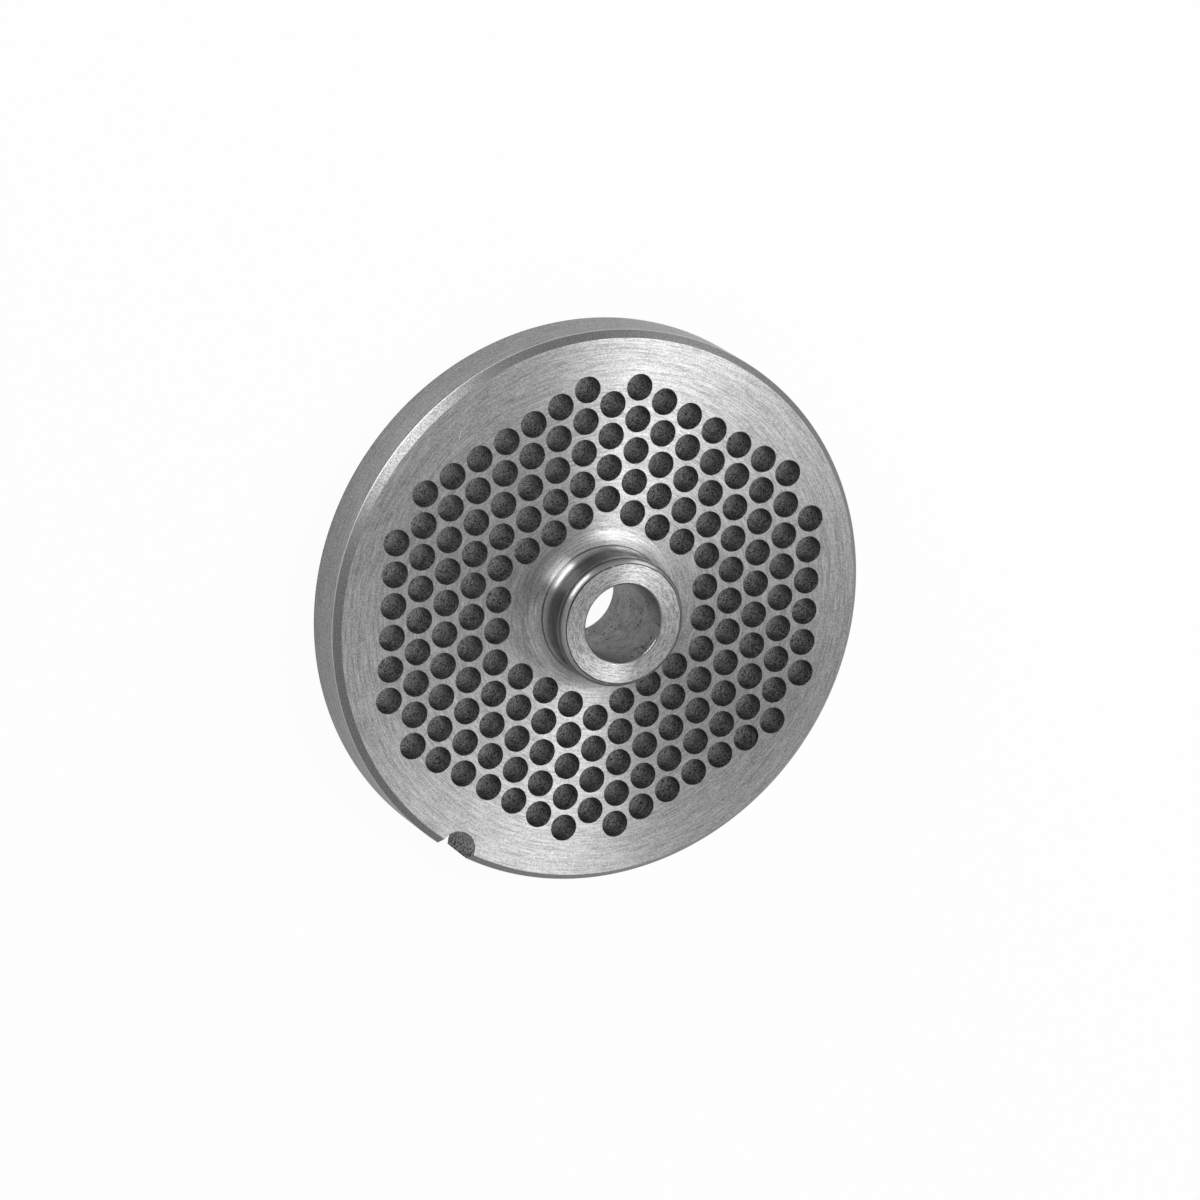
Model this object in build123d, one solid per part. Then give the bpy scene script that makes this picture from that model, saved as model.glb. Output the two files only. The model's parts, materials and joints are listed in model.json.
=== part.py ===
from build123d import *
from math import cos, floor, hypot, radians, sin, sqrt
import os

# Perforated plate of a size 32 meat grinder: one piece of steel, turned, drilled and ground.
# Millimetres. The flat back face lies on z = 0, the axis is Z and the hub points up.

# Disc
plate_diameter = 98.4
plate_thickness = 11.1
front_chamfer_width = 1.24      # taken off the front face
front_chamfer_depth = 1.56      # taken off the rim
back_chamfer_width = 1.0
back_chamfer_depth = 1.0

# Bore that turns on the stud of the feed screw
bore_diameter = 14.0
bore_chamfer = 0.3

# Hub, from its end face down to the front face of the disc
hub_height = 9.6                # above the front face
hub_wall = 4.43                 # of the collar round the bore
hub_chamfer_width = 0.88        # taken off the end face
hub_chamfer_depth = 1.1         # taken off the collar
collar_length = 1.05            # below the chamfer, down to the shoulder
neck_undercut = 0.75            # inside the collar
cove_radius = 2.8               # of the hollow curve from the neck out to the foot
foot_height = 1.75              # of the foot's edge, above the front face
foot_overhang = 0.25            # how far that edge stands out past the collar
foot_step_width = 0.12
foot_step_height = 0.35

# Shallow dish that the lathe tool leaves round the foot
dish_width = 2.9

# Holes that the meat is pressed through, on a triangular lattice with its rows along Y
hole_diameter = 4.62
hole_web = 0.97                 # metal between two neighbours
rim_land = 5.4                  # undrilled band inside the rim
hub_land = 3.6                  # undrilled band round the foot of the hub

# Half-round notch in the rim for the locating pin of the grinder's head
notch_diameter = 6.5
notch_depth = 4.0               # from the rim to the bottom of the notch
notch_angle = 239.4             # round from +X

# Radii and heights that follow from these
plate_radius = plate_diameter / 2
bore_radius = bore_diameter / 2
collar_radius = bore_radius + hub_wall
foot_radius = collar_radius + foot_overhang
step_radius = foot_radius + foot_step_width
dish_radius = step_radius + dish_width
neck_radius = collar_radius - neck_undercut
cove_axis_radius = neck_radius + cove_radius
hub_top = plate_thickness + hub_height
collar_top = hub_top - hub_chamfer_depth
shoulder = collar_top - collar_length
foot_top = plate_thickness + foot_height
foot_bottom = foot_top - foot_step_height
cove_top = foot_top + sqrt(cove_radius**2 - (cove_axis_radius - foot_radius) ** 2)


def disc_outline():
    """From the bore at the back face, round the rim, to the edge of the dish."""
    return Polyline(
        (bore_radius, 0),
        (plate_radius - back_chamfer_width, 0),
        (plate_radius, back_chamfer_depth),
        (plate_radius, plate_thickness - front_chamfer_depth),
        (plate_radius - front_chamfer_width, plate_thickness),
        (dish_radius, plate_thickness),
    )


def foot_outline():
    """The dish, level where it meets the front face, then the short steep step up to the foot's edge."""
    dish = TangentArc((dish_radius, plate_thickness), (step_radius, foot_bottom), tangent=(-1, 0))
    step = Line((step_radius, foot_bottom), (foot_radius, foot_top))
    return dish + step


def neck_outline():
    """The cove, upright where it runs into the neck, then the neck and the flat shoulder under the collar."""
    cove = TangentArc((neck_radius, cove_top), (foot_radius, foot_top), tangent=(0, -1))
    neck = Polyline((neck_radius, cove_top), (neck_radius, shoulder), (collar_radius, shoulder))
    return cove + neck


def collar_outline():
    """The collar, its chamfer and the end face, then down the bore to the back face."""
    return Polyline(
        (collar_radius, shoulder),
        (collar_radius, collar_top),
        (collar_radius - hub_chamfer_width, hub_top),
        (bore_radius + bore_chamfer, hub_top),
        (bore_radius, hub_top - bore_chamfer),
        (bore_radius, 0),
    )


def turned_blank():
    """The disc and its hub as they leave the lathe."""
    outline = disc_outline() + foot_outline() + neck_outline() + collar_outline()
    return revolve(make_face(Plane.XZ * outline), Axis.Z)


def hole_centres():
    """Lattice points in a hexagonal ring, less those that would run into the rim's land."""
    pitch = hole_diameter + hole_web
    row_step = pitch * sqrt(3) / 2
    hole_reach = plate_radius - rim_land - hole_diameter / 2
    inner_reach = foot_radius + hub_land
    rows = floor(hole_reach / row_step)
    centres = []
    for row in range(-rows, rows + 1):
        for place in range(-rows, rows):
            along = place + (1 + row % 2) / 2
            # Distance, in rows, in the three directions across the lattice
            spread = max(abs(row), abs(along + row / 2), abs(along - row / 2))
            x = row * row_step
            y = along * pitch
            drilled = spread * row_step > inner_reach and spread <= rows
            if drilled and hypot(x, y) <= hole_reach:
                centres.append((x, y))
    return centres


def drills():
    """One cylinder through the disc at each hole centre."""
    drill = Cylinder(hole_diameter / 2, plate_thickness, align=(Align.CENTER, Align.CENTER, Align.MIN))
    return [Pos(x, y) * drill for x, y in hole_centres()]


def notch_cutter():
    """A cylinder whose inner side reaches the bottom of the notch."""
    centre_radius = plate_radius - notch_depth + notch_diameter / 2
    cutter = Cylinder(notch_diameter / 2, plate_thickness, align=(Align.CENTER, Align.CENTER, Align.MIN))
    angle = radians(notch_angle)
    return Pos(centre_radius * cos(angle), centre_radius * sin(angle)) * cutter


def grinder_plate():
    """The turned blank with its holes drilled and its notch milled."""
    return turned_blank() - drills() - notch_cutter()


os.makedirs("parts", exist_ok=True)
export_step(grinder_plate(), "parts/grinder_plate.step")
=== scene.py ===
import json
from math import acos, atan2, cos, degrees, floor, hypot, pi, radians, sin, sqrt

import bpy
from mathutils import Matrix, Vector, geometry


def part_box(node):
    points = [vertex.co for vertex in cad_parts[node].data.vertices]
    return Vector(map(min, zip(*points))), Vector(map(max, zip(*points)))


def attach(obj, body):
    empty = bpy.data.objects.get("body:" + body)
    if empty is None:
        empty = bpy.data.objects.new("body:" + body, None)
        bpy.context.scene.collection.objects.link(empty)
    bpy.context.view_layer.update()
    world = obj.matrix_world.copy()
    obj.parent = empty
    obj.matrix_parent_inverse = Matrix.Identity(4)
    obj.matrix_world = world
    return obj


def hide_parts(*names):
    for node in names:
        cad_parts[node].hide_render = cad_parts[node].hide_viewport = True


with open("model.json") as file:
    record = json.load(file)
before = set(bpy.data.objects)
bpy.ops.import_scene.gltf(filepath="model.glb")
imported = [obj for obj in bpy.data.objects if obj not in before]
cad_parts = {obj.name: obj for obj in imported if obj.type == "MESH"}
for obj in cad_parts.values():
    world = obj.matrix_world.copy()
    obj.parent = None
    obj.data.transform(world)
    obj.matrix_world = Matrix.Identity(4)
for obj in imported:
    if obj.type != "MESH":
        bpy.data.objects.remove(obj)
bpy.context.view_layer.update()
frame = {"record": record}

mm = 0.001
print("frame loaded")

# Sizes in millimetres. What the frame states is read from it, and the rest repeats the solid's own sizes.
mounts = {mount["name"]: mount for mount in frame["record"]["mounts"]}
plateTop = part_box("grinder_plate")[1].z / mm

plate = {
    "radius": mounts["rim"]["dims"]["r_mm"],
    "thickness": mounts["ring_land"]["pos_m"][2] / mm,
    "frontChamferWidth": 1.24,
    "frontChamferDepth": 1.56,
    "backChamferWidth": 1.0,
    "backChamferDepth": 1.0,
    "edgeBreak": 0.09,          # rounding that the grinding leaves on an edge
    "segments": 400,
}
hub = {
    "top": plateTop,
    "boreRadius": mounts["hub_bore"]["dims"]["r_mm"],
    "boreChamfer": 0.3,
    "boreSlope": 135,           # degrees, the heading of the normals of the bore's chamfer
    "boreCrown": 20,            # degrees
    "wall": 4.43,
    "chamferWidth": 0.88,
    "chamferDepth": 1.1,
    "chamferCrown": 22,         # degrees
    "collarLength": 1.05,       # below the chamfer
    "neckUndercut": 0.75,       # of the neck, inside the collar
    "coveRadius": 2.8,
    "footHeight": 1.75,         # of the foot's edge, above the front face
    "footOverhang": 0.25,
    "footStepWidth": 0.12,
    "footStepHeight": 0.35,
    "dishWidth": 2.9,
    "edgeBreak": 0.07,
    "segments": 256,
}
holes = {
    "radius": 2.31,
    "web": 0.97,
    "rimLand": 5.4,
    "hubLand": 3.6,
    "edgeBreak": 0.08,
    "segments": 44,
}
notch = {
    "x": mounts["rim_notch"]["pos_m"][0] / mm,
    "y": mounts["rim_notch"]["pos_m"][1] / mm,
    "radius": mounts["rim_notch"]["dims"]["r_mm"],
    "edgeBreak": 0.1,
    "segments": 40,
}
finishNames = [
    "groundFace", "rimChamfer", "turnedRim", "drilledWall", "turnedHub", "hubEndFace", "reamedBore",
    "milledNotch", "knifeFace",
]
breakSteps = 3                  # faces across each rounded edge
breakShare = 0.45               # the most that a rounding takes of the stretch on either side
sharpTurn = 0.3                 # radians, the least turn of a section that is rounded
lead = 1                        # millimetres, of the flat ground that a section starts and ends on
dishSteps = 12                  # faces along each curved stretch of the hub
coveSteps = 20
chamferSteps = 8
mouthSteps = 4
pointGap = 1e-5                 # millimetres, the least gap between two points of a flat face


class Shell:
    # Points, and faces with a finish and a true normal at each corner
    def __init__(self):
        self.points, self.faces, self.normals, self.finishes = [], [], [], []

    def point(self, x, y, z):
        self.points.append(Vector((x, y, z)) * mm)
        return len(self.points) - 1

    def face(self, corners, finish):
        # A corner is a point's number with the surface's normal there
        a, b, c = (self.points[number] for number, normal in corners[:3])
        outward = sum((normal for number, normal in corners), Vector())
        if (b - a).cross(c - a).dot(outward) < 0:
            corners = corners[::-1]
        self.faces.append([number for number, normal in corners])
        self.normals.extend(normal for number, normal in corners)
        self.finishes.append(finishNames.index(finish))

    def band(self, lower, upper, finish, closed=True):
        count = len(lower)
        for i in range(count if closed else count - 1):
            j = (i + 1) % count
            self.face([lower[i], lower[j], upper[j], upper[i]], finish)


def roundedSection(path, breakSize):
    # A half section as rows of (radius, height, normal, finish of the stretch before the row), with its sharp
    # corners rounded. The solid is to the left of the path. Its points are (radius, height, finish after it).
    rows = []
    for i in range(1, len(path) - 1):
        spot = Vector(path[i][:2])
        before = spot - Vector(path[i - 1][:2])
        after = Vector(path[i + 1][:2]) - spot
        size = min(breakSize, breakShare * before.length, breakShare * after.length)
        before, after = before.normalized(), after.normalized()
        steps = breakSteps if before.angle(after) > sharpTurn else 0
        for k in range(steps + 1):
            t = k / steps if steps else 0.5
            reach = size if steps else 0
            along = (1 - t) * before + t * after
            middle = spot - before * reach * (1 - t) ** 2 + after * reach * t ** 2
            normal = Vector((along.y, -along.x)).normalized()
            rows.append((middle.x, middle.y, normal, path[i - 1][2] if k == 0 else path[i][2]))
    return rows


def turnRow(shell, radius, z, normal, segments, centre=(0, 0)):
    # A ring of points round an upright axis
    row = []
    for i in range(segments):
        c, s = cos(2 * pi * i / segments), sin(2 * pi * i / segments)
        number = shell.point(centre[0] + radius * c, centre[1] + radius * s, z)
        row.append((number, Vector((normal.x * c, normal.x * s, normal.y))))
    return row


def dishHeight(radius):
    # Height of the front face, which curves up gently to the foot of the hub
    rise = hub["footHeight"] - hub["footStepHeight"]
    foot = hub["boreRadius"] + hub["wall"] + hub["footOverhang"] + hub["footStepWidth"]
    reach = foot + hub["dishWidth"] - radius
    curve = (hub["dishWidth"] ** 2 + rise ** 2) / (2 * rise)
    return plate["thickness"] + (curve - sqrt(curve ** 2 - reach ** 2) if reach > 0 else 0)


def arcPoints(centre, radius, first, last, steps):
    # Points on an arc of the half section, between two angles in degrees
    points = []
    for i in range(steps + 1):
        angle = radians(first + (last - first) * i / steps)
        points.append((centre[0] + radius * cos(angle), centre[1] + radius * sin(angle)))
    return points


def wornChamfer(start, width, depth, slope, crown, steps):
    # A chamfer worn round: its normals swing by the crown either side of its slope, both in degrees
    bend = hypot(width, depth) / (2 * sin(radians(crown)))
    first = radians(slope - crown)
    centre = (start[0] - bend * cos(first), start[1] - bend * sin(first))
    return arcPoints(centre, bend, slope - crown, slope + crown, steps)


def holeCentres():
    pitch = 2 * holes["radius"] + holes["web"]
    rowStep = pitch * sqrt(3) / 2
    holeReach = plate["radius"] - holes["rimLand"] - holes["radius"]
    innerReach = hub["boreRadius"] + hub["wall"] + hub["footOverhang"] + holes["hubLand"]
    rows = floor(holeReach / rowStep)
    centres = []
    for row in range(-rows, rows + 1):
        for place in range(-rows, rows):
            along = place + (1 + row % 2) / 2
            spread = max(abs(row), abs(along + row / 2), abs(along - row / 2))
            drilled = spread * rowStep > innerReach and spread <= rows
            if drilled and hypot(row * rowStep, along * pitch) <= holeReach:
                centres.append((row * rowStep, along * pitch))
    return centres


def drillHoles(shell, centres):
    # Each wall with its rounded mouths; returns the front and back mouths
    top, radius = plate["thickness"], holes["radius"]
    path = [
        (radius + lead, top, "groundFace"),
        (radius, top, "drilledWall"),
        (radius, 0, "knifeFace"),
        (radius + lead, 0, "knifeFace"),
    ]
    section = roundedSection(path, holes["edgeBreak"])
    frontMouths, backMouths = [], []
    for centre in centres:
        rows = []
        for r, z, normal, finish in section:
            rows.append(turnRow(shell, r, z, normal, holes["segments"], centre))
        for k in range(1, len(rows)):
            shell.band(rows[k - 1], rows[k], "drilledWall")
        frontMouths.append(rows[0])
        backMouths.append(rows[-1])
    return frontMouths, backMouths


def rimRow(shell, radius, z, normal, notchRadius, notchNormal):
    # One level of the rim, as its long arc and its notch arc, which share their end points
    distance = hypot(notch["x"], notch["y"])
    heading = atan2(notch["y"], notch["x"])
    halfGap = acos((radius ** 2 + distance ** 2 - notchRadius ** 2) / (2 * radius * distance))
    opening = acos((radius ** 2 - distance ** 2 - notchRadius ** 2) / (2 * distance * notchRadius))
    arc, cut = [], []
    for i in range(plate["segments"] + 1):
        angle = heading + halfGap + (2 * pi - 2 * halfGap) * i / plate["segments"]
        number = shell.point(radius * cos(angle), radius * sin(angle), z)
        arc.append((number, Vector((normal.x * cos(angle), normal.x * sin(angle), normal.y))))
    for i in range(notch["segments"] + 1):
        angle = heading - opening - (2 * pi - 2 * opening) * i / notch["segments"]
        c, s = cos(angle), sin(angle)
        if i == 0:
            number = arc[-1][0]
        elif i == notch["segments"]:
            number = arc[0][0]
        else:
            number = shell.point(notch["x"] + notchRadius * c, notch["y"] + notchRadius * s, z)
        cut.append((number, Vector((-notchNormal.x * c, -notchNormal.x * s, notchNormal.y))))
    return arc, cut


def turnRim(shell):
    # From the back face up to the front face, with the notch cut through; returns the two faces' outlines
    radius, top = plate["radius"], plate["thickness"]
    backEdge, frontEdge = radius - plate["backChamferWidth"], radius - plate["frontChamferWidth"]
    path = [
        (backEdge - lead, 0, "knifeFace"),
        (backEdge, 0, "rimChamfer"),
        (radius, plate["backChamferDepth"], "turnedRim"),
        (radius, top - plate["frontChamferDepth"], "rimChamfer"),
        (frontEdge, top, "groundFace"),
        (frontEdge - lead, top, "groundFace"),
    ]
    section = roundedSection(path, plate["edgeBreak"])
    levels = []
    for k, (r, z, normal, finish) in enumerate(section):
        t = min(k, len(section) - 1 - k, breakSteps) / breakSteps
        facing = -1 if k < len(section) / 2 else 1
        cutNormal = Vector((t, facing * (1 - t))).normalized()
        notchRadius = notch["radius"] + notch["edgeBreak"] * (1 - t) ** 2
        levels.append(rimRow(shell, r, z, normal, notchRadius, cutNormal))
    for k in range(1, len(levels)):
        shell.band(levels[k - 1][0], levels[k][0], section[k][3], closed=False)
        shell.band(levels[k - 1][1], levels[k][1], "milledNotch", closed=False)
    outlines = [level[0] + level[1][1:-1] for level in levels]
    return outlines[0], outlines[-1]


def hubPath(centres):
    # From the dish over the foot, the cove, the collar and the end face, and down the bore to the back face
    top, collar = plate["thickness"], hub["boreRadius"] + hub["wall"]
    edge = collar + hub["footOverhang"]
    foot = edge + hub["footStepWidth"]
    start = min(hypot(x, y) for x, y in centres) - holes["radius"] - 2 * holes["edgeBreak"]
    path = []
    for i in range(dishSteps):
        r = start + (foot - start) * i / dishSteps
        path.append((r, dishHeight(r), "groundFace"))
    path.append((foot, dishHeight(foot), "turnedHub"))
    neck = collar - hub["neckUndercut"]
    opening = degrees(acos((neck + hub["coveRadius"] - edge) / hub["coveRadius"]))
    coveMiddle = top + hub["footHeight"] + hub["coveRadius"] * sin(radians(opening))
    cove = arcPoints((neck + hub["coveRadius"], coveMiddle), hub["coveRadius"], 180 + opening, 180, coveSteps)
    path += [(r, z, "turnedHub") for r, z in cove]
    collarTop = hub["top"] - hub["chamferDepth"]
    path.append((neck, collarTop - hub["collarLength"], "turnedHub"))
    path.append((collar, collarTop - hub["collarLength"], "turnedHub"))
    width, depth = hub["chamferWidth"], hub["chamferDepth"]
    slope = degrees(atan2(width, depth))
    end = wornChamfer((collar, collarTop), width, depth, slope, hub["chamferCrown"], chamferSteps)
    path += [(r, z, "turnedHub") for r, z in end]
    path[-1] = (*path[-1][:2], "hubEndFace")
    # The last point of the bore's chamfer is left out, because the bore's wall starts there
    size = hub["boreChamfer"]
    mouth = (hub["boreRadius"] + size, hub["top"])
    worn = wornChamfer(mouth, size, size, hub["boreSlope"], hub["boreCrown"], mouthSteps)[:-1]
    path += [(r, z, "turnedHub") for r, z in worn]
    path += [
        (hub["boreRadius"], hub["top"] - hub["boreChamfer"], "reamedBore"),
        (hub["boreRadius"], 0, "knifeFace"),
        (hub["boreRadius"] + lead, 0, "knifeFace"),
    ]
    return path


def turnHub(shell, centres):
    # Returns the rings that it shares with the front face and the back face
    path = hubPath(centres)
    path.insert(0, (path[0][0] + lead, path[0][1], "groundFace"))
    section = roundedSection(path, hub["edgeBreak"])
    rows = [turnRow(shell, r, z, normal, hub["segments"]) for r, z, normal, finish in section]
    for k in range(1, len(rows)):
        shell.band(rows[k - 1], rows[k], section[k][3])
    return rows[0], rows[-1]


def fillFace(shell, outline, mouths, facing, finish):
    # Flat ground between the outline and the mouths that open in it
    loops = [outline] + mouths
    numbers = [number for loop in loops for number, normal in loop]
    flat = [Vector((shell.points[number].x, shell.points[number].y)) / mm for number in numbers]
    edges, first = [], 0
    for loop in loops:
        edges += [(first + i, first + (i + 1) % len(loop)) for i in range(len(loop))]
        first += len(loop)
    inside = []
    for loop in mouths:
        middle = sum((shell.points[number].xy for number, normal in loop), Vector((0, 0))) / len(loop) / mm
        inside.append((middle, (shell.points[loop[0][0]].xy / mm - middle).length))
    notchSpot = Vector((notch["x"], notch["y"]))
    inside.append((notchSpot, notch["radius"] + notch["edgeBreak"]))
    result = geometry.delaunay_2d_cdt(flat, edges, [], 1, pointGap)
    normal = Vector((0, 0, facing))
    for triangle in result[2]:
        middle = (result[0][triangle[0]] + result[0][triangle[1]] + result[0][triangle[2]]) / 3
        if any((middle - spot).length < reach for spot, reach in inside):
            continue
        corners = [numbers[result[3][i][0]] for i in triangle]
        shell.face([(number, normal) for number in corners], finish)


def buildPlate():
    shell = Shell()
    centres = holeCentres()
    frontMouths, backMouths = drillHoles(shell, centres)
    backOutline, frontOutline = turnRim(shell)
    frontRing, backRing = turnHub(shell, centres)
    fillFace(shell, frontOutline, [frontRing] + frontMouths, 1, "groundFace")
    fillFace(shell, backOutline, [backRing] + backMouths, -1, "knifeFace")
    mesh = bpy.data.meshes.new("grinderPlate")
    mesh.from_pydata(shell.points, [], shell.faces)
    mesh.polygons.foreach_set("material_index", shell.finishes)
    mesh.polygons.foreach_set("use_smooth", [True] * len(shell.faces))
    mesh.normals_split_custom_set(shell.normals)
    piece = bpy.data.objects.new("grinderPlate", mesh)
    bpy.context.scene.collection.objects.link(piece)
    print("plate built:", len(centres), "holes,", len(mesh.polygons), "faces")
    return piece


grinderPlate = buildPlate()
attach(grinderPlate, "root")
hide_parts("grinder_plate")


lightLevel = {
    "world": 0.55,              # what the open studio gives to dull surfaces
    "backdrop": 1.0,            # what the lens and the metal see of it
    "floorColour": 0.8,
    "floorGlow": 0.96,          # share of the backdrop's white in the floor, for the lens
    "floorMirror": 0.45,        # the same, for the metal
    "floorHalf": 3.0,           # metres
    "floorDrop": 0.02,          # millimetres below the plate
}
lamps = {
    # azimuth and elevation in degrees, distance and sizes in metres, power in watts
    "faceLamp": {"azimuth": 31.3, "elevation": 57.5, "distance": 1.16, "size": (0.54, 0.15), "power": 5.17},
    "sideLamp": {"azimuth": 1.7, "elevation": 51.2, "distance": 0.84, "size": (0.29, 0.15), "power": 0.67},
    "lowLamp": {"azimuth": 45, "elevation": 10, "distance": 1.0, "size": (0.5, 0.35), "power": 1.5},
    "edgeLamp": {"azimuth": 136.5, "elevation": 10, "distance": 1.0, "size": (0.62, 0.35), "power": 5.6},
}
camera = {
    "azimuth": 145.91,          # round from +X, of the camera as seen from the plate
    "elevation": 61.49,
    "distance": 1281.1,
    "aim": (-0.364, 1.620),     # on the front face
    "roll": -3.218,
    "lens": 223.27,
    "clip": (0.01, 20),         # metres
}
studioShade = {
    "lens": 0.8,                # how much darker the studio is behind the lens
    "lensInner": 20,            # degrees off the line to the lens
    "lensOuter": 30,
    "sides": 0.5,               # how much darker it is low down
    "sidesLow": 5,              # degrees up
    "sidesHigh": 40,
}


def heading(values):
    # Unit vector towards an azimuth and elevation
    azimuth, elevation = radians(values["azimuth"]), radians(values["elevation"])
    return Vector((cos(elevation) * cos(azimuth), cos(elevation) * sin(azimuth), sin(elevation)))


class Field:
    # A node's output that can be reckoned with like a number
    def __init__(self, finish, socket):
        self.finish, self.socket = finish, socket

    def reckon(self, operation, *others):
        # Adds a Math node; the inputs come in the order given
        values = dict(enumerate(others))
        return self.finish.node("ShaderNodeMath", {"operation": operation}, values)

    def __add__(self, other):
        return self.reckon("ADD", self, other)

    def __sub__(self, other):
        return self.reckon("SUBTRACT", self, other)

    def __rsub__(self, other):
        return self.reckon("SUBTRACT", other, self)

    def __mul__(self, other):
        return self.reckon("MULTIPLY", self, other)

    def __truediv__(self, other):
        return self.reckon("DIVIDE", self, other)

    def __pow__(self, other):
        return self.reckon("POWER", self, other)

    __radd__ = __add__
    __rmul__ = __mul__

    def wave(self, length):
        return self.reckon("SINE", self * (2 * pi / length))

    def rise(self, low, high):
        # 0 below low, 1 above high, and smooth between; falls instead where low is the higher
        settings = {"interpolation_type": "SMOOTHSTEP"}
        values = {"Value": self, "From Min": low, "From Max": high}
        return self.finish.node("ShaderNodeMapRange", settings, values)

    def near(self, edge, ends):
        # 0 at the first distance from an edge and 1 at the second
        return self.rise(edge + ends[0], edge + ends[1])

    def larger(self, other):
        return self.reckon("MAXIMUM", self, other)

    def other(self, name):
        # Another output of the same node
        return Field(self.finish, self.socket.node.outputs[name])


class Finish:
    # A node tree, with one method that adds any node
    def __init__(self, block):
        block.use_nodes = True
        self.block, self.tree = block, block.node_tree

    def node(self, kind, settings=None, values=None, output=0):
        made = self.tree.nodes.new(kind)
        for name, value in (settings or {}).items():
            setattr(made, name, value)
        for name, value in (values or {}).items():
            self.feed(made.inputs[name], value)
        return Field(self, made.outputs[output]) if made.outputs else None

    def feed(self, socket, value):
        if isinstance(value, Field):
            self.tree.links.new(value.socket, socket)
        else:
            socket.default_value = value


acrossMarks = 0.25              # a quarter turn, so that highlights spread across the tool marks
noiseRoughness = 0.6


class Steel(Finish):
    # One finish of the plate, which knows its place on the plate in millimetres
    def __init__(self, name, look):
        super().__init__(bpy.data.materials.new(name))
        self.look = look
        self.colour = None
        self.shader = self.tree.nodes["Principled BSDF"]
        self.shader.inputs["Metallic"].default_value = 1
        self.shader.inputs["Anisotropic"].default_value = look["anisotropy"]
        self.shader.inputs["Anisotropic Rotation"].default_value = acrossMarks
        metres = self.node("ShaderNodeTexCoord", output="Object")
        self.spot = self.node("ShaderNodeVectorMath", {"operation": "SCALE"}, {0: metres, "Scale": 1 / mm})
        self.x = self.node("ShaderNodeSeparateXYZ", None, {0: self.spot}, "X")
        self.y, self.z = self.x.other("Y"), self.x.other("Z")
        self.radius = (self.x * self.x + self.y * self.y) ** 0.5

    def vector(self, x, y, z):
        return self.node("ShaderNodeCombineXYZ", None, {"X": x, "Y": y, "Z": z})

    def noise(self, size, detail=2, vector=None):
        values = {"Vector": vector or self.spot, "Scale": 1 / size}
        values.update({"Detail": detail, "Roughness": noiseRoughness})
        return self.node("ShaderNodeTexNoise", None, values)

    def streaks(self, across, length, width, detail=2):
        # Noise drawn out round the axis, over a coordinate that runs across the streaks
        return self.noise(1, detail, self.vector(self.x / length, self.y / length, across / width))

    def specks(self, spacing, share, small, large):
        # 1 inside a share of scattered spots, with radii from small to large
        values = {"Vector": self.spot, "Scale": 1 / spacing}
        distance = self.node("ShaderNodeTexVoronoi", None, values)
        chance = self.node("ShaderNodeSeparateXYZ", None, {0: distance.other("Color")}, "X")
        chosen = chance.rise(1 - share - 0.001, 1 - share)
        draw = self.node("ShaderNodeSeparateXYZ", None, {0: distance.other("Color")}, "Y")
        reach = small + draw * (large - small)
        return (distance * spacing - reach).rise(0.5 * small, -0.5 * small) * chosen

    def grain(self, detail=3):
        return self.noise(self.look["grain"], detail)

    def marks(self, across):
        return self.streaks(across, self.look["streakLength"], self.look["streakWidth"])

    def pits(self):
        look = self.look
        return self.specks(look["pitSpacing"], look["pitShare"], look["pitSmall"], look["pitLarge"])

    def line(self, start, end, width):
        # 1 along a straight scratch between two places on a flat face
        start, along = Vector((*start, 0)), Vector((*end, 0)) - Vector((*start, 0))
        flat = self.vector(self.x - start.x, self.y - start.y, 0)
        share = self.node("ShaderNodeVectorMath", {"operation": "DOT_PRODUCT"}, {0: flat, 1: along}, "Value")
        share = share / along.length_squared
        share = share.reckon("MINIMUM", share, 1).larger(0)
        near = self.node("ShaderNodeVectorMath", {"operation": "SCALE"}, {0: along, "Scale": share})
        gap = self.node("ShaderNodeVectorMath", {"operation": "DISTANCE"}, {0: flat, 1: near}, "Value")
        return gap.rise(width, 0.4 * width)

    def finish(self, shade, relief, wearAndPaintedLight):
        # shade runs from the dark to the light grey, relief is the height of the marks, and the last is the
        # share of the mark's grey, which stands for pits and wear, and on the rim chamfer for a painted
        # highlight
        look = self.look
        self.colour = self.blend(shade, look["dark"], look["light"])
        self.overlay(wearAndPaintedLight, look["mark"])
        roughness = look["roughness"] + (0.5 - shade) * look["roughnessSpread"]
        self.feed(self.shader.inputs["Roughness"], roughness)
        values = {"Height": relief, "Strength": 1, "Distance": look["relief"] * mm}
        self.feed(self.shader.inputs["Normal"], self.node("ShaderNodeBump", None, values))

    def overlay(self, share, grey):
        self.colour = self.blend(share, self.colour, grey)
        self.feed(self.shader.inputs["Base Color"], self.colour)

    def blend(self, share, first, second):
        # A grey stands for its colour. The sockets are told apart by identifier, because a Mix node's colour
        # sockets have the same names as its number sockets.
        mixed = self.node("ShaderNodeMix", {"data_type": "RGBA"}, {"Factor": share})
        made = mixed.socket.node
        colours = {"A_Color": first, "B_Color": second}
        for socket in made.inputs:
            if socket.identifier in colours:
                value = colours[socket.identifier]
                self.feed(socket, value if isinstance(value, Field) else (value, value, value, 1))
        return Field(self, next(socket for socket in made.outputs if socket.type == "RGBA"))


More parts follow.
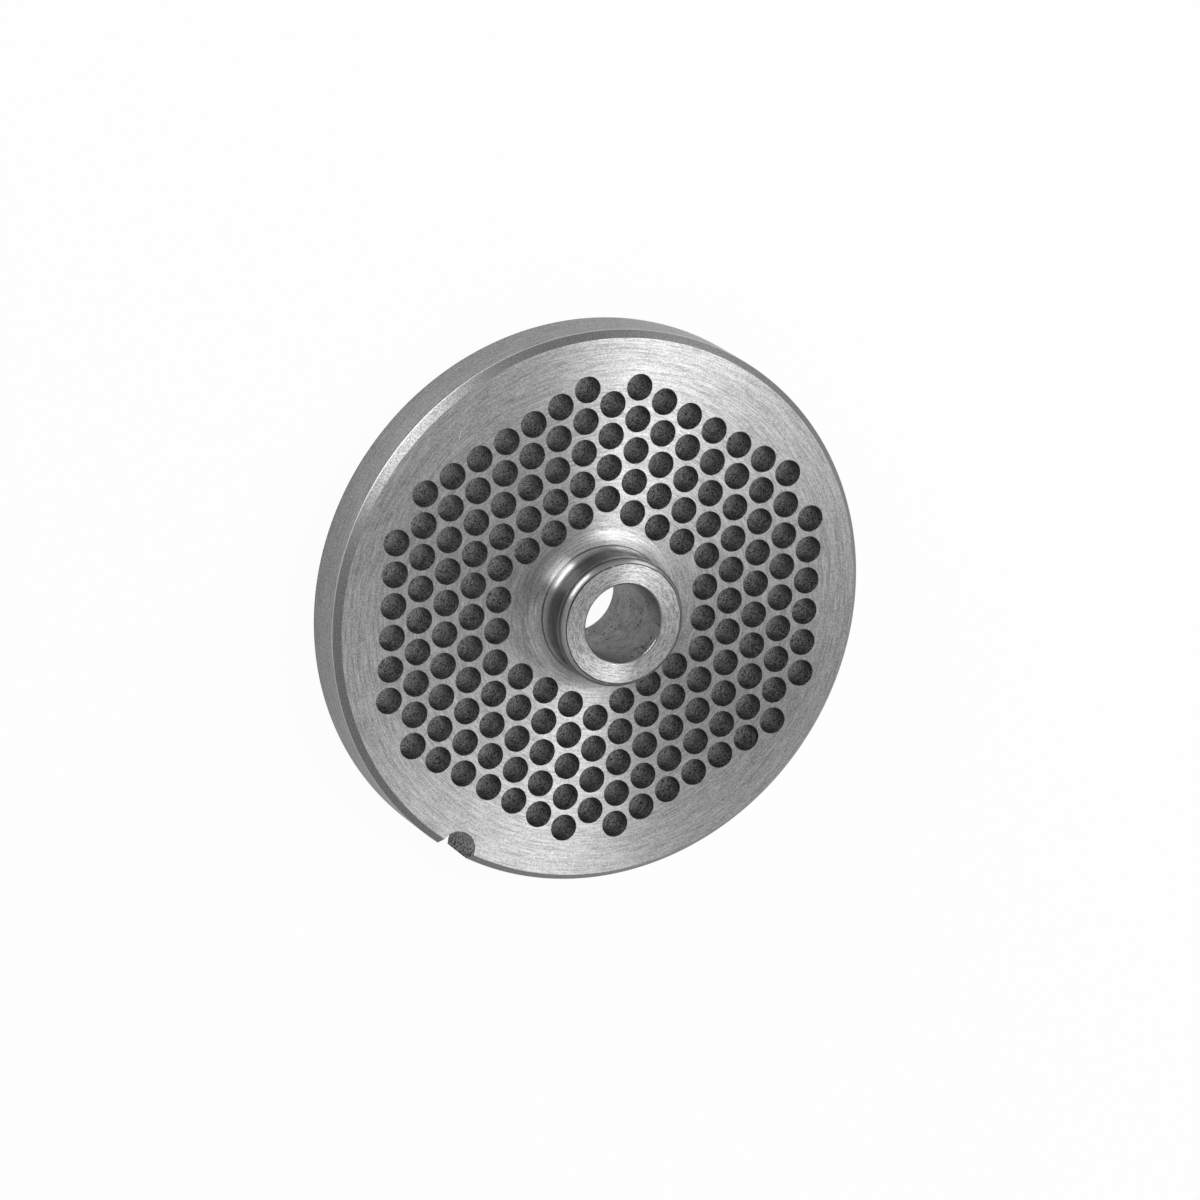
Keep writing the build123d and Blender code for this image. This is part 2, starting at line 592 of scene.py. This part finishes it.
looks = {
    # dark and light are the greys between which a finish varies, and mark is the grey of its pits or edge; on
    # the rim chamfer that edge grey is a painted highlight.
    # Sizes are in millimetres, and so are the distances or radii at which a mark is gone and is full.
    # Contrast, breaks and clusters are the ends of the part of the noise that is used.
    "groundFace": {
        "dark": 0.19, "light": 0.46, "mark": 0.07,
        "roughness": 0.4, "roughnessSpread": 0.06, "anisotropy": 0.93,
        "relief": 0.004, "grain": 0.25, "streakLength": 4, "streakWidth": 0.24,
        "broadLength": 24, "broadWidth": 1.2, "contrast": (0.32, 0.68), "markShare": 0.8,
        "ringStep": 0.6, "ringEnds": (18, 12.6), "ringShade": 0.2, "ringWander": 0.35, "wanderSize": 3,
        "ringBreaks": (0.45, 0.7), "ringBreakSize": 2.5,
        "pitSpacing": 1.1, "pitShare": 0.03, "pitSmall": 0.05, "pitLarge": 0.13,
        "scratchGrey": 0.7, "scratchWidth": 0.08, "scratchBreaks": (0.3, 0.5),
    },
    "rimChamfer": {
        "dark": 0.14, "light": 0.24, "mark": 0.5,
        "roughness": 0.42, "roughnessSpread": 0.1, "anisotropy": 0,
        "relief": 0.004, "grain": 0.26, "contrast": (0.3, 0.7),
        "edgeAbove": (0.16, 0.04), "edgeBelow": (-0.3, -0.2),
    },
    "turnedRim": {
        "dark": 0.16, "light": 0.42, "mark": 0.08,
        "roughness": 0.38, "roughnessSpread": 0.06, "anisotropy": 0.5,
        "relief": 0.0015, "grain": 0.32, "streakLength": 6, "streakWidth": 0.3,
        "contrast": (0.3, 0.7), "markShare": 0.7, "edge": (0.3, 0.12),
    },
    "drilledWall": {
        "dark": 0.015, "light": 0.52, "mark": 0.006,
        "roughness": 0.42, "roughnessSpread": 0.15, "anisotropy": 0,
        "relief": 0.03, "grain": 0.26, "scoreAcross": 0.9, "scoreAlong": 0.35,
        "contrast": (0.38, 0.64), "markShare": 0.9, "mouth": (-0.16, -0.03), "mouthShare": 0.75,
        "pitSpacing": 0.6, "pitShare": 0.5, "pitSmall": 0.12, "pitLarge": 0.27,
        # pale and its share: the depths below the front face over which the wall is painted paler, a painted
        # light, and by how much
        "pale": (-3, -8), "paleShade": 0.16,
    },
    "turnedHub": {
        "dark": 0.17, "light": 0.33, "mark": 0.03,
        "roughness": 0.3, "roughnessSpread": 0.06, "anisotropy": 0.6,
        "relief": 0.0015, "grain": 0.3, "streakLength": 6, "streakWidth": 0.3,
        "contrast": (0.3, 0.7), "markShare": 0.9, "edgeOutside": (0.24, 0.16), "edgeInside": (-0.6, -0.5),
        "edgeBelow": (-0.35, -0.25), "edgeBreaks": (0.25, 0.45), "edgeBreakSize": 1.2,
        "lipGrey": 0.75, "lipShare": 0.6, "lipBelow": (-0.02, 0.03), "lipAbove": (0.48, 0.38),
        "lipInside": (-0.1, -0.05),
    },
    "hubEndFace": {
        "dark": 0.17, "light": 0.48, "mark": 0.05,
        "roughness": 0.36, "roughnessSpread": 0.1, "anisotropy": 0.9,
        "relief": 0.006, "grain": 0.3, "streakLength": 1.2, "streakWidth": 0.28,
        "contrast": (0.32, 0.68), "markShare": 0.85, "edge": (-0.06, 0.02),
    },
    "reamedBore": {
        "dark": 0.18, "light": 0.46, "mark": 0.012,
        "roughness": 0.38, "roughnessSpread": 0.06, "anisotropy": 0,
        "relief": 0.004, "grain": 0.35, "mottleSize": 2, "clusterSize": 3, "clusters": (0.48, 0.58),
        "contrast": (0.3, 0.7), "markShare": 0.85,
        "pitSpacing": 0.7, "pitShare": 0.4, "pitSmall": 0.14, "pitLarge": 0.3,
    },
    "milledNotch": {
        "dark": 0.02, "light": 0.36, "mark": 0.01,
        "roughness": 0.4, "roughnessSpread": 0.1, "anisotropy": 0,
        "relief": 0.01, "grain": 0.5, "lineStep": 0.35, "contrast": (0.4, 0.6),
        "pitSpacing": 0.8, "pitShare": 0.4, "pitSmall": 0.1, "pitLarge": 0.22,
    },
    "knifeFace": {
        "dark": 0.21, "light": 0.42, "mark": 0.08,
        "roughness": 0.34, "roughnessSpread": 0.06, "anisotropy": 0.75,
        "relief": 0.002, "grain": 0.3, "streakLength": 12, "streakWidth": 0.26,
        "contrast": (0.3, 0.7), "markShare": 0.7,
        "pitSpacing": 2.2, "pitShare": 0.04, "pitSmall": 0.05, "pitLarge": 0.12,
    },
}
# Both ends of each scratch, on the front face
scratches = [((-28.2, 31.6), (-27.9, 33.5)), ((-17.2, 41.4), (-16.8, 41.9))]


def groundFaceSteel(steel):
    # The rings are left by facing the plate round the hub, and fade outwards
    look = steel.look
    grain, fine = steel.grain(), steel.marks(steel.radius)
    broad = steel.streaks(steel.radius, look["broadLength"], look["broadWidth"])
    near = steel.radius.rise(*look["ringEnds"])
    ringed = steel.radius + steel.noise(look["wanderSize"], 1) * look["ringWander"]
    rings = ringed.wave(look["ringStep"]) * near
    rings = rings * steel.noise(look["ringBreakSize"], 1).rise(*look["ringBreaks"])
    shade = (0.5 * grain + 0.4 * fine + 0.1 * broad).rise(*look["contrast"]) + rings * look["ringShade"]
    steel.finish(shade, grain + fine + rings, steel.pits() * look["markShare"])
    scratched = 0
    for start, end in scratches:
        scratched = steel.line(start, end, look["scratchWidth"]).larger(scratched)
    steel.overlay(scratched * grain.rise(*look["scratchBreaks"]), look["scratchGrey"])


def rimChamferSteel(steel):
    # Its lower edge is painted light, a painted highlight along the edge
    look, grain = steel.look, steel.grain()
    outer = plate["thickness"] - plate["frontChamferDepth"]
    # Painted highlight: the band along the lower edge is lightened to the mark's grey
    edge = steel.z.near(outer, look["edgeAbove"]) * steel.z.near(outer, look["edgeBelow"])
    steel.finish(grain.rise(*look["contrast"]), grain, edge)


def turnedRimSteel(steel):
    # Dark along its lower edge
    look = steel.look
    grain, lines = steel.grain(), steel.marks(steel.z)
    edge = steel.z.near(plate["backChamferDepth"], look["edge"])
    shade = (0.35 * lines + 0.65 * grain).rise(*look["contrast"])
    steel.finish(shade, lines + grain, edge * look["markShare"])


def drilledWallSteel(steel):
    # Pitted, dark at the mouth, and painted paler far down, a painted light from below through the hole
    look, top = steel.look, plate["thickness"]
    grain, pits = steel.grain(4), steel.pits()
    across, along = look["scoreAcross"], look["scoreAlong"]
    scored = steel.noise(1, 2, steel.vector(steel.x / across, steel.y / across, steel.z / along))
    mouth, paintedLightDeep = steel.z.near(top, look["mouth"]), steel.z.near(top, look["pale"])
    # Painted light: the grey is raised with depth down the wall
    shade = (0.75 * grain + 0.25 * scored).rise(*look["contrast"]) * 0.9 + paintedLightDeep * look["paleShade"]
    wearAndPaintedLight = (pits * look["markShare"]).larger(mouth * look["mouthShare"])
    steel.finish(shade, grain - 0.5 * pits, wearAndPaintedLight)


def turnedHubSteel(steel):
    # A broken dark line outside the end face, and a painted highlight along the foot of the collar
    look, top = steel.look, hub["top"]
    grain, lines = steel.grain(), steel.marks(steel.radius + steel.z)
    collar = hub["boreRadius"] + hub["wall"]
    inner = collar - hub["chamferWidth"]
    shoulder = top - hub["chamferDepth"] - hub["collarLength"]
    edge = steel.radius.near(inner, look["edgeOutside"]) * steel.z.near(top, look["edgeBelow"])
    edge = edge * steel.radius.near(inner, look["edgeInside"])
    edge = edge * steel.noise(look["edgeBreakSize"], 1).rise(*look["edgeBreaks"])
    steel.finish((0.5 * lines + 0.5 * grain).rise(*look["contrast"]), lines, edge * look["markShare"])
    # Painted highlight: a light line at the collar's lower edge
    lip = steel.z.near(shoulder, look["lipBelow"]) * steel.z.near(shoulder, look["lipAbove"])
    lip = lip * steel.radius.near(collar, look["lipInside"])
    steel.overlay(lip * look["lipShare"], look["lipGrey"])


def hubEndFaceSteel(steel):
    # Dark along its outer edge
    look = steel.look
    grain, streaks = steel.grain(), steel.marks(steel.radius)
    outer = hub["boreRadius"] + hub["wall"] - hub["chamferWidth"]
    shade = (0.6 * streaks + 0.4 * grain).rise(*look["contrast"])
    steel.finish(shade, streaks + grain, steel.radius.near(outer, look["edge"]) * look["markShare"])


def reamedBoreSteel(steel):
    # Pitted in clusters
    look = steel.look
    pits = steel.pits() * steel.noise(look["clusterSize"], 1).rise(*look["clusters"])
    grain, mottle = steel.grain(), steel.noise(look["mottleSize"], 2)
    shade = (0.6 * grain + 0.4 * mottle).rise(*look["contrast"])
    steel.finish(shade, grain * 0.2 - pits, pits * look["markShare"])


def milledNotchSteel(steel):
    look, grain = steel.look, steel.grain()
    lines = steel.z.wave(look["lineStep"]) * 0.5 + 0.5
    shade = (0.15 * lines + 0.85 * grain).rise(*look["contrast"])
    steel.finish(shade, lines + grain, steel.pits())


def knifeFaceSteel(steel):
    look = steel.look
    grain, streaks = steel.grain(), steel.marks(steel.radius)
    shade = (0.6 * streaks + 0.4 * grain).rise(*look["contrast"])
    steel.finish(shade, streaks + grain, steel.pits() * look["markShare"])


def paintPlate():
    painters = {
        "groundFace": groundFaceSteel, "rimChamfer": rimChamferSteel, "turnedRim": turnedRimSteel,
        "drilledWall": drilledWallSteel, "turnedHub": turnedHubSteel, "hubEndFace": hubEndFaceSteel,
        "reamedBore": reamedBoreSteel, "milledNotch": milledNotchSteel, "knifeFace": knifeFaceSteel,
    }
    for name in finishNames:
        steel = Steel(name, looks[name])
        painters[name](steel)
        grinderPlate.data.materials.append(steel.block)
    print("plate painted:", len(finishNames), "finishes")


paintPlate()


def layFloor():
    half, drop = lightLevel["floorHalf"], -lightLevel["floorDrop"] * mm
    mesh = bpy.data.meshes.new("studioFloor")
    corners = [(-half, -half, drop), (half, -half, drop), (half, half, drop), (-half, half, drop)]
    mesh.from_pydata(corners, [], [(0, 1, 2, 3)])
    floorPiece = bpy.data.objects.new("studioFloor", mesh)
    bpy.context.scene.collection.objects.link(floorPiece)
    finish = Finish(bpy.data.materials.new("paleFloor"))
    finish.tree.nodes.clear()
    shade = (lightLevel["floorColour"],) * 3 + (1,)
    matt = finish.node("ShaderNodeBsdfDiffuse", None, {"Color": shade})
    glow = finish.node("ShaderNodeEmission", None, {"Strength": lightLevel["backdrop"]})
    path = finish.node("ShaderNodeLightPath", output="Is Camera Ray")
    mirrored = path.other("Is Glossy Ray").larger(path.other("Is Transmission Ray"))
    white = (path * lightLevel["floorGlow"]).larger(mirrored * lightLevel["floorMirror"])
    mixed = finish.node("ShaderNodeMixShader", None, {0: white, 1: matt, 2: glow})
    finish.node("ShaderNodeOutputMaterial", None, {"Surface": mixed})
    mesh.materials.append(finish.block)
    return floorPiece


studioFloor = layFloor()


def placeCamera():
    away = heading(camera)
    target = Vector((camera["aim"][0], camera["aim"][1], plate["thickness"])) * mm
    side = (-away).cross(Vector((0, 1, 0))).normalized()
    up = side.cross(-away)
    turn = radians(camera["roll"])
    up = up * cos(turn) + side * sin(turn)
    side = (-away).cross(up)
    lens = bpy.data.cameras.new("studioCamera")
    lens.lens = camera["lens"]
    lens.clip_start, lens.clip_end = camera["clip"]
    cameraObject = bpy.data.objects.new("studioCamera", lens)
    bpy.context.scene.collection.objects.link(cameraObject)
    turned = Matrix((side, up, away)).transposed().to_4x4()
    cameraObject.matrix_world = Matrix.Translation(target + away * camera["distance"] * mm) @ turned
    bpy.context.scene.camera = cameraObject


def lightWorld():
    # White to the lens. The metal sees it darker behind the lens and low down at the sides.
    world = Finish(bpy.data.worlds.new("openStudio"))
    bpy.context.scene.world = world.block
    path = world.node("ShaderNodeLightPath", output="Is Camera Ray")
    seen = path.larger(path.other("Is Glossy Ray")).larger(path.other("Is Transmission Ray"))
    direction = world.node("ShaderNodeTexCoord", output="Generated")
    values = {0: direction, 1: heading(camera)}
    towards = world.node("ShaderNodeVectorMath", {"operation": "DOT_PRODUCT"}, values, "Value")
    outer, inner = cos(radians(studioShade["lensOuter"])), cos(radians(studioShade["lensInner"]))
    height = world.node("ShaderNodeSeparateXYZ", None, {0: direction}, "Z")
    high, low = sin(radians(studioShade["sidesHigh"])), sin(radians(studioShade["sidesLow"]))
    behindLens = 1 - towards.rise(outer, inner) * studioShade["lens"]
    lowDown = 1 - height.rise(high, low) * studioShade["sides"]
    level = lightLevel["world"] + seen * (lightLevel["backdrop"] - lightLevel["world"])
    background = world.tree.nodes["Background"]
    world.feed(background.inputs["Strength"], level * (behindLens * lowDown).larger(path))
    world.feed(background.inputs["Color"], (1, 1, 1, 1))


def hangLamp(name, values):
    away = heading(values)
    lampData = bpy.data.lights.new(name, "AREA")
    lampData.shape = "RECTANGLE"
    lampData.size, lampData.size_y = values["size"]
    lampData.energy = values["power"]
    lampObject = bpy.data.objects.new(name, lampData)
    bpy.context.scene.collection.objects.link(lampObject)
    lampObject.location = away * values["distance"]
    lampObject.rotation_euler = away.to_track_quat("Z", "Y").to_euler()


placeCamera()
lightWorld()
for lampName, lampValues in lamps.items():
    hangLamp(lampName, lampValues)
bpy.context.scene.view_settings.view_transform = "Standard"
print("studio lit:", len(lamps), "lamps")
